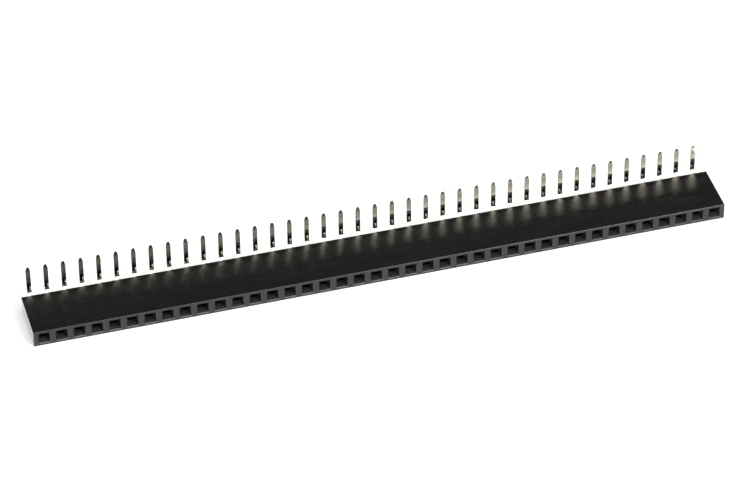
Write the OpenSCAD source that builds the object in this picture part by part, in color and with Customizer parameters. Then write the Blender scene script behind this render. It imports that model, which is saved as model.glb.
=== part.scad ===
// Right-angle female pin header strip. One moulded housing holds a single row of square
// sockets, and each socket holds a stamped contact: two spring beams that grip a square
// pin, a barbed base, and a solder tail bent through a right angle.
// The strip lies on its wide face. X runs along the row, the sockets open toward -Y and
// the tails point up +Z. The origin is the middle of the underside of the whole box.

/* [Strip] */
// Number of sockets in the row
ways = 40; // [2:1:40]
// Distance from one socket to the next
pitch = 2.54; // [2.5:0.01:3.2]
// Length of housing beyond the outermost pitch, at each end
end_extra = 0.25; // [0.1:0.05:1.5]

/* [Housing] */
// Depth from the mating face to the back face
body_d = 8.1; // [6:0.1:12]
// Thickness from the rest face to the board face
body_t = 2.5; // [2.4:0.1:4]
// Radius on the outer edges
edge_r = 0.1; // [0.03:0.01:0.2]

/* [Sockets] */
// Side of the square mouth, inside its chamfered edge
mouth_w = 1.65; // [1.4:0.05:1.8]
// Width and depth of the chamfer round the mouth
lip = 0.08; // [0.02:0.01:0.15]
// Side of the square throat that guides the pin
throat_w = 1.0; // [0.8:0.05:1.2]
// Depth at which the taper meets the throat
taper_d = 1.0; // [0.6:0.05:1.4]
// Length of the throat
throat_l = 0.15; // [0.1:0.05:0.4]
// Width of the cavity behind the throat
cavity_w = 1.5; // [1.4:0.05:1.8]
// Height of the cavity behind the throat
cavity_h = 1.5; // [1.4:0.05:1.7]

/* [Contact base] */
// Thickness of the stamped sheet
sheet_t = 0.25; // [0.15:0.01:0.3]
// Gap between each side of the base and the cavity wall
side_gap = 0.06; // [0.03:0.01:0.12]
// Distance from the rear end of the base to the back face
rear_gap = 0.35; // [0.1:0.05:1]
// Length of the base
base_l = 2.2; // [1.9:0.1:2.6]
// Height of the side walls over the cavity floor
wall_h = 0.65; // [0.5:0.05:0.9]
// Length of the ramp on each barb
barb_ramp = 0.45; // [0.3:0.05:0.8]
// Length of the flat on each barb that bites the cavity wall
barb_flat = 0.25; // [0.1:0.05:0.5]

/* [Contact beams] */
// Gap between the throat and the tips of the beams
beam_gap = 0.1; // [0.05:0.05:0.4]
// Height of the top of the beams over the cavity floor
beam_top = 1.1; // [0.9:0.05:1.3]
// Length over which each beam is joined to its side wall
root_l = 0.5; // [0.3:0.05:0.8]
// Length of the flared lead-in at each tip
flare_l = 0.5; // [0.3:0.05:0.8]
// Opening between the tips of the beams
flare_w = 0.96; // [0.8:0.02:1.0]
// Opening where the beams pinch the pin
pinch_w = 0.46; // [0.3:0.02:0.6]

/* [Solder tail] */
// Width of the tail
tail_w = 0.64; // [0.4:0.02:0.8]
// Distance from the back face to the middle of the upright tail
tail_offset = 1.85; // [1.3:0.05:3]
// Height of the tail's tip over the board face
tail_up = 3.55; // [2:0.05:8]
// Rise of the tail over the base, where it leaves the housing
tail_rise = 0.65; // [0.4:0.05:1.1]
// Length of the ramp that lifts the tail, at the rear of the base
rise_l = 0.6; // [0.4:0.1:0.8]
// Inside radius of the right-angle bend
bend_r = 0.7; // [0.2:0.05:0.8]
// Length of the taper at the tip
tip_l = 0.55; // [0.2:0.05:1]
// Width of the tip's end
tip_w = 0.36; // [0.1:0.02:0.38]
// Thickness of the tip's end
tip_t = 0.12; // [0.05:0.01:0.15]

/* [Hidden] */
$fn = 48;
cut = 1;                                        // how far a cutter runs past a face

body_l = ways * pitch + 2 * end_extra;
overall_d = body_d + tail_offset + sheet_t / 2;
pin_z = body_t / 2;                             // height of the mating pin's axis
floor_z = pin_z - cavity_h / 2;                 // height of the cavity floor
cavity_y = taper_d + throat_l;                  // where the cavity begins

beam_y = cavity_y + beam_gap;                   // tips of the beams
base_end = body_d - rear_gap;                   // rear end of the base
base_y = base_end - base_l;                     // front end of the base
plate_end = base_end - rise_l;                  // where the tail rises from the plate
base_w = cavity_w - 2 * side_gap;
barb_y = base_y + (base_l - barb_ramp - barb_flat) / 2;

plate_z = floor_z + sheet_t / 2;                // middle plane of the base's plate
tail_z = plate_z + tail_rise;                   // middle plane of the tail's level run
tail_y = body_d + tail_offset;                  // middle plane of the upright tail
bend_y = tail_y - sheet_t / 2 - bend_r;         // axis of the bend
bend_z = tail_z + sheet_t / 2 + bend_r;
tip_z = body_t + tail_up;

function socket_x(i) = (i - (ways + 1) / 2) * pitch;
function contact_name(i) = str("contact_", i < 10 ? "0" : "", i);

// ---- sheet metal helpers ----

// Unit normal, to the left of the way from a to b
function normal(a, b) = [a.y - b.y, b.x - a.x] / norm(b - a);

// Offset that keeps both neighbouring stretches of a bent sheet at the same thickness
function mitre(p, i) =
    let (last = len(p) - 1,
         before = normal(p[max(i - 1, 0)], p[max(i, 1)]),
         after = normal(p[min(i, last - 1)], p[min(i + 1, last)]))
    (before + after) / (1 + before * after);

// Outline of a sheet of thickness t, bent along the middle line p
function sheet(p, t) = concat(
    [for (i = [0 : len(p) - 1]) p[i] + mitre(p, i) * t / 2],
    [for (i = [len(p) - 1 : -1 : 0]) p[i] - mitre(p, i) * t / 2]);

// ---- placing ----

// Shapes are drawn with y = 0 at the mating face, and moved here to the part's frame
module seated() {
    translate([0, -overall_d / 2, 0]) children();
}

// Extrudes a (y, z) outline to the width w, centred on x = 0
module across_x(w) {
    translate([-w / 2, 0, 0])
        rotate([90, 0, 90])
            linear_extrude(w) children();
}

// Extrudes an (x, z) outline from y = y0 back to y = y1
module along_y(y0, y1) {
    translate([0, y1, 0])
        rotate([90, 0, 0])
            linear_extrude(y1 - y0) children();
}

// ---- housing ----

module rounded_rectangle(size, r) {
    translate([r, 0]) square([size.x - 2 * r, size.y]);
    translate([0, r]) square([size.x, size.y - 2 * r]);
    for (x = [r, size.x - r], y = [r, size.y - r])
        translate([x, y]) circle(r);
}

// Block with every outer edge rounded: the overlap of its three extruded outlines
module housing_block() {
    intersection() {
        across_x(body_l) rounded_rectangle([body_d, body_t], edge_r);
        translate([-body_l / 2, 0, 0])
            linear_extrude(body_t) rounded_rectangle([body_l, body_d], edge_r);
        along_y(0, body_d)
            translate([-body_l / 2, 0]) rounded_rectangle([body_l, body_t], edge_r);
    }
}

// Half outline of the mouth: chamfered edge, taper, throat
function mouth_side(s) = [
    [-cut, s * (mouth_w / 2 + lip)],
    [0, s * (mouth_w / 2 + lip)],
    [lip, s * mouth_w / 2],
    [taper_d, s * throat_w / 2],
    [cavity_y + cut, s * throat_w / 2]];

// The mouth has the same outline from above as from the side
module mouth_outline() {
    upper = mouth_side(1);
    lower = mouth_side(-1);
    polygon(concat(upper, [for (i = [len(lower) - 1 : -1 : 0]) lower[i]]));
}

module socket_cutter() {
    intersection() {
        linear_extrude(body_t) mirror([1, -1]) mouth_outline();
        across_x(pitch) translate([0, pin_z]) mouth_outline();
    }
    translate([-cavity_w / 2, cavity_y, floor_z])
        cube([cavity_w, body_d - cavity_y + cut, cavity_h]);
}

module housing() {
    color("#26272a")
        seated() difference() {
            housing_block();
            for (i = [1 : ways])
                translate([socket_x(i), 0, 0]) socket_cutter();
        }
}

// ---- contact ----

// One spring beam and the root that joins it to its side wall, seen from above
module beam_outline() {
    polygon(sheet([
        [(flare_w + sheet_t) / 2, beam_y],
        [(pinch_w + sheet_t) / 2, beam_y + flare_l],
        [(base_w - sheet_t) / 2, base_y],
        [(base_w - sheet_t) / 2, base_y + root_l]], sheet_t));
}

// One side wall with the barb on its outside, seen from above
module wall_outline() {
    root = base_w / 2 - sheet_t;
    translate([root, base_y]) square([sheet_t, base_l]);
    polygon([
        [root, barb_y],
        [base_w / 2, barb_y],
        [cavity_w / 2, barb_y + barb_ramp],
        [cavity_w / 2, barb_y + barb_ramp + barb_flat],
        [root, barb_y + barb_ramp + barb_flat]]);
}

module both_sides() {
    children();
    mirror([1, 0, 0]) children();
}

// The beams stand over the side walls, and clear the cavity floor by the plate's thickness
module beams() {
    translate([0, 0, floor_z + sheet_t])
        linear_extrude(beam_top - sheet_t) beam_outline();
}

// The plate ends where the tail rises out of it, and the side walls run on past it
module base() {
    translate([-base_w / 2, base_y, floor_z])
        cube([base_w, base_l - rise_l, sheet_t]);
    both_sides()
        translate([0, 0, floor_z])
            linear_extrude(wall_h) wall_outline();
}

// Side outline of the tail: from the plate up the ramp, out of the housing, round the
// bend and up to the tip
module tail_outline() {
    polygon(sheet([
        [base_y, plate_z],
        [plate_end, plate_z],
        [base_end, tail_z],
        [bend_y, tail_z]], sheet_t));
    translate([bend_y, bend_z])
        intersection() {
            difference() {
                circle(bend_r + sheet_t);
                circle(bend_r);
            }
            translate([0, -bend_r - sheet_t]) square(bend_r + sheet_t);
        }
    translate([tail_y, 0])
        polygon([
            [-sheet_t / 2, bend_z], [sheet_t / 2, bend_z],
            [sheet_t / 2, tip_z - tip_l], [tip_t / 2, tip_z],
            [-tip_t / 2, tip_z], [-sheet_t / 2, tip_z - tip_l]]);
}

// Cuts the slope on one side of the tip
module tip_cutter() {
    along_y(tail_y - cut, tail_y + cut)
        polygon([
            [tip_w / 2, tip_z],
            [tail_w / 2, tip_z - tip_l],
            [tail_w / 2 + cut, tip_z - tip_l],
            [tail_w / 2 + cut, tip_z + cut],
            [tip_w / 2, tip_z + cut]]);
}

module tail() {
    difference() {
        across_x(tail_w) tail_outline();
        both_sides() tip_cutter();
    }
}

module contact(i) {
    color("#cbb98a")
        seated() translate([socket_x(i), 0, 0]) {
            both_sides() beams();
            base();
            tail();
        }
}

housing();
for (i = [1 : ways])
    contact(i);
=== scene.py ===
import math

import bpy
from mathutils import Matrix, Vector


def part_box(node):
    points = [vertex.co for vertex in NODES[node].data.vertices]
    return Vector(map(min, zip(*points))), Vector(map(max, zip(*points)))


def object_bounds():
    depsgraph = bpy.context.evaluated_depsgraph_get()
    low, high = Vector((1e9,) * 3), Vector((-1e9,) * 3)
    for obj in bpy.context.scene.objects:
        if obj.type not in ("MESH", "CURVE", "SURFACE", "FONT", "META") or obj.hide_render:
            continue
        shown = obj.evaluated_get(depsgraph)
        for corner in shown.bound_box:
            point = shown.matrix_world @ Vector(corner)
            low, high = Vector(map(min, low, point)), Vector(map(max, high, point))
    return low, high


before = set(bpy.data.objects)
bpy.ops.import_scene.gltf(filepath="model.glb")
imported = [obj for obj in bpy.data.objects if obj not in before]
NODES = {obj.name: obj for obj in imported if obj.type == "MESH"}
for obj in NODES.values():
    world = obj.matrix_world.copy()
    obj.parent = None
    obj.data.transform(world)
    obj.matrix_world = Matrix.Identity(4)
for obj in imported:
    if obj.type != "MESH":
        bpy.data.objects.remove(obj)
cad_low, cad_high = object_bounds()

MM = 0.001
CONTACTS = sorted(name for name in NODES if name.startswith("contact_"))
HOUSING = NODES["housing"]

# The housing's own faces, from the frame
HOUSING_LOW, HOUSING_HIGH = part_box("housing")
RIGHT_END = HOUSING_HIGH.x
BACK_FACE = HOUSING_HIGH.y

FLOAT, VECTOR = "NodeSocketFloat", "NodeSocketVector"


# ---- node helpers ----

def new_material(name):
    """An empty node material with an output and a Principled BSDF."""
    material = bpy.data.materials.new(name)
    material.use_nodes = True
    tree = material.node_tree
    tree.nodes.clear()
    output = tree.nodes.new("ShaderNodeOutputMaterial")
    shader = tree.nodes.new("ShaderNodeBsdfPrincipled")
    tree.links.new(shader.outputs["BSDF"], output.inputs["Surface"])
    return material, tree, shader


def new_group(name, inputs, outputs):
    """A shader node group with named inputs (label, kind, value) and outputs (label, kind)."""
    tree = bpy.data.node_groups.new(name, "ShaderNodeTree")
    for label, kind, value in inputs:
        socket = tree.interface.new_socket(label, in_out="INPUT", socket_type=kind)
        if value is not None:
            socket.default_value = value
    for label, kind in outputs:
        tree.interface.new_socket(label, in_out="OUTPUT", socket_type=kind)
    return tree, tree.nodes.new("NodeGroupInput"), tree.nodes.new("NodeGroupOutput")


def place_group(tree, group, vector, values):
    """A group node fed with a coordinate and plain values."""
    node = tree.nodes.new("ShaderNodeGroup")
    node.node_tree = group
    tree.links.new(vector, node.inputs["Vector"])
    for label, value in values.items():
        node.inputs[label].default_value = value
    return node


def feed(tree, socket, value):
    """Links a socket, or sets a plain value."""
    if isinstance(value, bpy.types.NodeSocket):
        tree.links.new(value, socket)
    else:
        socket.default_value = value


def calc(tree, operation, *values):
    """A Math node on sockets or numbers."""
    node = tree.nodes.new("ShaderNodeMath")
    node.operation = operation
    for socket, value in zip(node.inputs, values):
        feed(tree, socket, value)
    return node.outputs["Value"]


def ramp(tree, value, start, end, low=0.0, high=1.0):
    """Goes from low to high while value goes from start to end, and stays level outside."""
    node = tree.nodes.new("ShaderNodeMapRange")
    node.interpolation_type = "SMOOTHSTEP"
    for label, number in (("Value", value), ("From Min", start), ("From Max", end),
                          ("To Min", low), ("To Max", high)):
        feed(tree, node.inputs[label], number)
    return node.outputs["Result"]


def blend_colour(tree, amount, first, second):
    """The first colour where amount is 0, and the second where it is 1."""
    node = tree.nodes.new("ShaderNodeMix")
    node.data_type = "RGBA"
    feed(tree, node.inputs["Factor"], amount)
    feed(tree, node.inputs["A"], first)
    feed(tree, node.inputs["B"], second)
    return node.outputs["Result"]


def object_place(tree):
    """Object coordinates as a vector, and its three parts as X, Y and Z."""
    where = tree.nodes.new("ShaderNodeTexCoord").outputs["Object"]
    split = tree.nodes.new("ShaderNodeSeparateXYZ")
    tree.links.new(where, split.inputs["Vector"])
    return where, split.outputs


def facing(tree):
    """The three parts of the surface's normal, in the object's own axes."""
    split = tree.nodes.new("ShaderNodeSeparateXYZ")
    tree.links.new(tree.nodes.new("ShaderNodeTexCoord").outputs["Normal"], split.inputs["Vector"])
    return split.outputs


def largest(tree, values):
    """The largest of several values."""
    top = values[0]
    for value in values[1:]:
        top = calc(tree, "MAXIMUM", top, value)
    return top


def stretched_noise(tree, vector, grain, detail):
    """Noise whose grains have the given size along X, Y and Z, in metres."""
    scale = tree.nodes.new("ShaderNodeVectorMath")
    scale.operation = "DIVIDE"
    feed(tree, scale.inputs[0], vector)
    feed(tree, scale.inputs[1], grain)
    noise = tree.nodes.new("ShaderNodeTexNoise")
    noise.inputs["Scale"].default_value = 1.0
    noise.inputs["Detail"].default_value = detail
    tree.links.new(scale.outputs["Vector"], noise.inputs["Vector"])
    return noise.outputs["Fac"]


# ---- shared effects ----

def mottle_group():
    """Cloudy change over a surface, from Low to High, with grains of a given size."""
    tree, given, result = new_group(
        "mottle",
        [("Vector", VECTOR, None), ("Grain", VECTOR, (MM, MM, MM)),
         ("Low", FLOAT, 0.0), ("High", FLOAT, 1.0)],
        [("Value", FLOAT)])
    cloud = stretched_noise(tree, given.outputs["Vector"], given.outputs["Grain"], 3.0)
    tree.links.new(ramp(tree, cloud, 0.35, 0.65, given.outputs["Low"], given.outputs["High"]),
                   result.inputs["Value"])
    return tree


def texture_group():
    """Height of a fine surface texture, with grains of a given size."""
    tree, given, result = new_group(
        "fine_texture",
        [("Vector", VECTOR, None), ("Grain", VECTOR, (MM, MM, MM))],
        [("Height", FLOAT)])
    cloud = stretched_noise(tree, given.outputs["Vector"], given.outputs["Grain"], 2.0)
    tree.links.new(cloud, result.inputs["Height"])
    return tree


MOTTLE = mottle_group()
TEXTURE = texture_group()


def bump(tree, height, distance):
    """The surface's normal, tilted by a height that is given in units of the distance."""
    node = tree.nodes.new("ShaderNodeBump")
    node.inputs["Strength"].default_value = 1.0
    node.inputs["Distance"].default_value = distance
    tree.links.new(height, node.inputs["Height"])
    return node.outputs["Normal"]


# ---- materials ----

# Colours
BLACK_DEEP = (0.0080, 0.0082, 0.0079, 1)
BLACK_PALE = (0.0122, 0.0124, 0.0117, 1)
# painted highlight: a paler black laid on the rounded edges
EDGE_HIGHLIGHT_BLACK = (0.040, 0.040, 0.039, 1)
GOLD_DULL = (0.76, 0.70, 0.56, 1)
GOLD_CLEAN = (0.84, 0.78, 0.65, 1)
# painted highlight: near-white gold for the contacts inside the housing
GOLD_PAINTED_HIGHLIGHT = (0.93, 0.91, 0.86, 1)
SHEARED_METAL = (0.30, 0.27, 0.21, 1)
CUT_BRASS = (0.20, 0.15, 0.09, 1)

# Finish of the moulding
PLASTIC_IOR = 1.52
BACK_ROUGHNESS = 0.21             # at the back edge of the wide faces
SATIN_ROUGHNESS = 0.36            # at SATIN_DEPTH in front of it
FRONT_ROUGHNESS = 0.25            # from CALM_DEPTH on, up to the mouths
SATIN_DEPTH = 1.8 * MM
CALM_DEPTH = 4.5 * MM
EDGE_ROUGHNESS = 0.15             # rounded edges and lips
END_ROUGHNESS = 0.08              # the two end faces
TAPER_EXTRA = 0.25                # more roughness in the tapered mouths
FIBRE_SHARE = 0.3                 # of the change in tone; flow marks make the rest
GRAIN_DEPTH = 0.0010 * MM         # depth of the fine grain

# Finish of the contacts
CUT_EXTRA = 0.25                  # more roughness on the cut sides of the tails
DRAWN_DEPTH = 0.0006 * MM         # depth of the drawn lines on the sheet
TAIL_LEAN = math.radians(2.2)     # how far the bump tilts the tails' faces back, which moves their mirror images; the tails themselves stand upright

# Size of each pattern's grains along X, Y and Z
FLOW_GRAIN = (9.0 * MM, 1.6 * MM, 3.0 * MM)
FIBRE_GRAIN = (0.16 * MM, 0.05 * MM, 0.16 * MM)
WEAR_GRAIN = (2.2 * MM, 0.9 * MM, 1.2 * MM)
MOULD_GRAIN = (0.12 * MM, 0.12 * MM, 0.12 * MM)
PATCH_GRAIN = (0.9 * MM, 0.9 * MM, 1.4 * MM)
POLISH_GRAIN = (0.10 * MM, 1.5 * MM, 1.5 * MM)
DRAWN_GRAIN = (0.05 * MM, 2.0 * MM, 2.0 * MM)


def plastic_colour(tree, where, edge):
    """Black with faint flow marks and glass fibre, with a painted highlight that makes the
    rounded edges paler.
    """
    flow = place_group(tree, MOTTLE, where, {"Grain": FLOW_GRAIN})
    fibre = place_group(tree, MOTTLE, where, {"Grain": FIBRE_GRAIN})
    tone = calc(tree, "ADD", calc(tree, "MULTIPLY", flow.outputs["Value"], 1 - FIBRE_SHARE),
                calc(tree, "MULTIPLY", fibre.outputs["Value"], FIBRE_SHARE))
    black = blend_colour(tree, tone, BLACK_DEEP, BLACK_PALE)
    # painted highlight: the rounded edges get a paler black, flecked by the fibre
    painted_edge_highlight = calc(tree, "MULTIPLY", edge, ramp(tree, fibre.outputs["Value"], 0.2, 0.8, 0.6, 1.0))
    return blend_colour(tree, painted_edge_highlight, black, EDGE_HIGHLIGHT_BLACK)


def plastic_roughness(tree, where, part, flatness, edge, end_face):
    """Smooth by the back edge, satin further forward and calmer again toward the mouths.

    The tapered mouths are matt, and the edges and the ends are polished.
    """
    from_back = calc(tree, "SUBTRACT", BACK_FACE, part["Y"])
    satin = ramp(tree, from_back, 0.0, SATIN_DEPTH, BACK_ROUGHNESS, SATIN_ROUGHNESS)
    calm = ramp(tree, from_back, SATIN_DEPTH, CALM_DEPTH, 0.0, SATIN_ROUGHNESS - FRONT_ROUGHNESS)
    wear = place_group(tree, MOTTLE, where, {"Grain": WEAR_GRAIN, "Low": -0.02, "High": 0.03})
    field = calc(tree, "ADD", calc(tree, "SUBTRACT", satin, calm), wear.outputs["Value"])
    taper = calc(tree, "MULTIPLY", ramp(tree, flatness, 0.90, 0.93),
                 ramp(tree, flatness, 0.96, 0.99, 1.0, 0.0))
    plain = calc(tree, "ADD", field, calc(tree, "MULTIPLY", taper, TAPER_EXTRA))
    on_edge = calc(tree, "MULTIPLY", edge, calc(tree, "SUBTRACT", plain, EDGE_ROUGHNESS))
    on_end = calc(tree, "MULTIPLY", end_face, calc(tree, "SUBTRACT", plain, END_ROUGHNESS))
    return calc(tree, "SUBTRACT", calc(tree, "SUBTRACT", plain, on_edge), on_end)


def housing_material():
    """Black glass-filled moulding: satin wide faces, polished edges and lips, glossy ends."""
    material, tree, shader = new_material("black_moulded_plastic")
    where, part = object_place(tree)
    flatness = largest(tree, [calc(tree, "ABSOLUTE", side) for side in facing(tree)])
    edge = ramp(tree, flatness, 0.80, 0.92, 1.0, 0.0)
    end_face = ramp(tree, calc(tree, "ABSOLUTE", part["X"]),
                    RIGHT_END - 0.06 * MM, RIGHT_END - 0.02 * MM)
    grain = place_group(tree, TEXTURE, where, {"Grain": MOULD_GRAIN})

    tree.links.new(plastic_colour(tree, where, edge), shader.inputs["Base Color"])
    tree.links.new(plastic_roughness(tree, where, part, flatness, edge, end_face),
                   shader.inputs["Roughness"])
    tree.links.new(end_face, shader.inputs["Coat Weight"])
    tree.links.new(bump(tree, grain.outputs["Height"], GRAIN_DEPTH), shader.inputs["Normal"])
    shader.inputs["IOR"].default_value = PLASTIC_IOR
    return material


def plating_colour(tree, where, part, cut_side):
    """Pale gold with a painted highlight that makes it near white inside the housing, dull at the
    sheared ends and brass on cut sides.
    """
    patch = place_group(tree, MOTTLE, where, {"Grain": PATCH_GRAIN})
    plating = blend_colour(tree, patch.outputs["Value"], GOLD_DULL, GOLD_CLEAN)
    # painted highlight: the gold turns near white from the back face to 0.3 mm inside the housing
    painted_highlight_inside = ramp(tree, part["Y"], BACK_FACE - 0.3 * MM, BACK_FACE, 1.0, 0.0)
    plating = blend_colour(tree, painted_highlight_inside, plating, GOLD_PAINTED_HIGHLIGHT)
    sheared = ramp(tree, part["Z"], cad_high.z - 0.50 * MM, cad_high.z - 0.15 * MM)
    plating = blend_colour(tree, sheared, plating, SHEARED_METAL)
    return blend_colour(tree, cut_side, plating, CUT_BRASS)


def contact_material():
    """Pale gold plating with drawn lines, with bare metal on the tails' cut sides and ends."""
    material, tree, shader = new_material("pale_gold_plating")
    where, part = object_place(tree)
    sideways = calc(tree, "ABSOLUTE", facing(tree)["X"])
    outside = calc(tree, "GREATER_THAN", part["Y"], BACK_FACE)
    cut_side = calc(tree, "MULTIPLY", outside, ramp(tree, sideways, 0.5, 0.9))
    polish = place_group(tree, MOTTLE, where,
                         {"Grain": POLISH_GRAIN, "Low": 0.07, "High": 0.13})
    drawn = place_group(tree, TEXTURE, where, {"Grain": DRAWN_GRAIN})
    lines = calc(tree, "MULTIPLY", drawn.outputs["Height"], DRAWN_DEPTH)
    leaning = calc(tree, "MULTIPLY", part["Z"], -math.tan(TAIL_LEAN))

    tree.links.new(plating_colour(tree, where, part, cut_side), shader.inputs["Base Color"])
    tree.links.new(calc(tree, "ADD", polish.outputs["Value"],
                        calc(tree, "MULTIPLY", cut_side, CUT_EXTRA)),
                   shader.inputs["Roughness"])
    tree.links.new(bump(tree, calc(tree, "ADD", lines, leaning), 1.0), shader.inputs["Normal"])
    shader.inputs["Metallic"].default_value = 1.0
    return material


def dress(obj, material):
    obj.data.materials.clear()
    obj.data.materials.append(material)


dress(HOUSING, housing_material())
plating = contact_material()
for name in CONTACTS:
    dress(NODES[name], plating)


# ---- stage ----

FLOOR_SIZE = 6.0                  # side of the floor, in metres
FLOOR_DROP = 0.02 * MM            # keeps the floor clear of the rest face
FLOOR_WHITE = (0.8, 0.8, 0.8, 1)
FLOOR_SHEEN = 0.40                # white added where the floor is seen or mirrored
FRONT_CEILING = 0.30              # brightness of the room high up in front
FRONT_WALL = 0.20                 # the same, lower in front
BACK_ROOM = 0.04                  # the same, overhead and behind


def seen_directly(tree, mirrored):
    """1 for camera and transmission rays, and for glossy rays if mirrored; 0 for the rest."""
    path = tree.nodes.new("ShaderNodeLightPath")
    seen = calc(tree, "ADD", path.outputs["Is Camera Ray"], path.outputs["Is Transmission Ray"])
    if mirrored:
        seen = calc(tree, "ADD", seen, path.outputs["Is Glossy Ray"])
    return calc(tree, "MINIMUM", seen, 1.0)


def add_floor():
    """A white floor that keeps the shadow, and that is clear when seen from below."""
    bpy.ops.object.select_all(action="DESELECT")
    bpy.ops.mesh.primitive_plane_add(size=FLOOR_SIZE, location=(0, 0, -FLOOR_DROP))
    floor = bpy.context.object
    floor.name = "floor"
    material = bpy.data.materials.new("white_sweep")
    material.use_nodes = True
    tree = material.node_tree
    tree.nodes.clear()
    output = tree.nodes.new("ShaderNodeOutputMaterial")
    matt = tree.nodes.new("ShaderNodeBsdfDiffuse")
    matt.inputs["Color"].default_value = FLOOR_WHITE
    lift = tree.nodes.new("ShaderNodeEmission")
    lift.inputs["Color"].default_value = (1, 1, 1, 1)
    tree.links.new(calc(tree, "MULTIPLY", seen_directly(tree, True), FLOOR_SHEEN),
                   lift.inputs["Strength"])
    both = tree.nodes.new("ShaderNodeAddShader")
    tree.links.new(matt.outputs["BSDF"], both.inputs[0])
    tree.links.new(lift.outputs["Emission"], both.inputs[1])
    clear = tree.nodes.new("ShaderNodeBsdfTransparent")
    sided = tree.nodes.new("ShaderNodeMixShader")
    tree.links.new(tree.nodes.new("ShaderNodeNewGeometry").outputs["Backfacing"],
                   sided.inputs["Fac"])
    tree.links.new(both.outputs["Shader"], sided.inputs[1])
    tree.links.new(clear.outputs["BSDF"], sided.inputs[2])
    tree.links.new(sided.outputs["Shader"], output.inputs["Surface"])
    dress(floor, material)


def add_room():
    """White at the horizon, bright in front of the object and dim over and behind it."""
    world = bpy.data.worlds.new("studio")
    bpy.context.scene.world = world
    world.use_nodes = True
    tree = world.node_tree
    tree.nodes.clear()
    output = tree.nodes.new("ShaderNodeOutputWorld")
    background = tree.nodes.new("ShaderNodeBackground")
    split = tree.nodes.new("ShaderNodeSeparateXYZ")
    tree.links.new(tree.nodes.new("ShaderNodeTexCoord").outputs["Generated"],
                   split.inputs["Vector"])
    ceiling = ramp(tree, split.outputs["Z"], 0.38, 0.55, FRONT_WALL, FRONT_CEILING)
    over = ramp(tree, split.outputs["Y"], -0.45, 0.25, ceiling, BACK_ROOM)
    room = ramp(tree, split.outputs["Z"], 0.03, 0.25, 1.0, over)
    tree.links.new(calc(tree, "MAXIMUM", room, seen_directly(tree, False)),
                   background.inputs["Strength"])
    background.inputs["Color"].default_value = (1, 1, 1, 1)
    tree.links.new(background.outputs["Background"], output.inputs["Surface"])


def add_softbox(name, place, aim, size, brightness):
    """A rectangular lamp whose face has the given brightness, where 1 is white."""
    light = bpy.data.lights.new(name, "AREA")
    light.shape = "RECTANGLE"
    light.size, light.size_y = size
    light.energy = brightness * math.pi * size[0] * size[1]
    holder = bpy.data.objects.new(name, light)
    holder.location = place
    holder.rotation_euler = (Vector(aim) - Vector(place)).to_track_quat("-Z", "Y").to_euler()
    bpy.context.scene.collection.objects.link(holder)


def add_camera():
    """Long lens from the front left and above."""
    yaw, elevation, roll = math.radians(15.436), math.radians(39.670), math.radians(-0.509)
    lens = 193.003
    place = Vector((-117.528, -423.897, 366.289)) * MM
    forward = Vector((math.sin(yaw) * math.cos(elevation),
                      math.cos(yaw) * math.cos(elevation), -math.sin(elevation)))
    level = Vector((math.cos(yaw), -math.sin(yaw), 0.0))
    right = Matrix.Rotation(-roll, 3, forward) @ level
    up = right.cross(forward)
    data = bpy.data.cameras.new("camera")
    data.sensor_width = 36.0
    data.lens = lens
    data.clip_start, data.clip_end = 0.01, 20.0
    camera = bpy.data.objects.new("camera", data)
    turn = Matrix((right, up, -forward)).transposed()
    camera.matrix_world = Matrix.Translation(place) @ turn.to_4x4()
    bpy.context.scene.collection.objects.link(camera)
    bpy.context.scene.camera = camera


add_floor()
add_room()
add_softbox("front_softbox", place=(0.275, -0.397, 0.305), aim=(0.02, 0, 0),
            size=(0.35, 0.168), brightness=12.0)
add_softbox("edge_softbox", place=(0.12, -0.315, 0.38), aim=(0.02, 0, 0),
            size=(0.32, 0.06), brightness=5.5)
add_softbox("overhead_softbox", place=(0, -0.13, 0.50), aim=(0, -0.13, 0),
            size=(0.60, 0.40), brightness=2.8)
add_camera()
bpy.context.scene.view_settings.view_transform = "Standard"
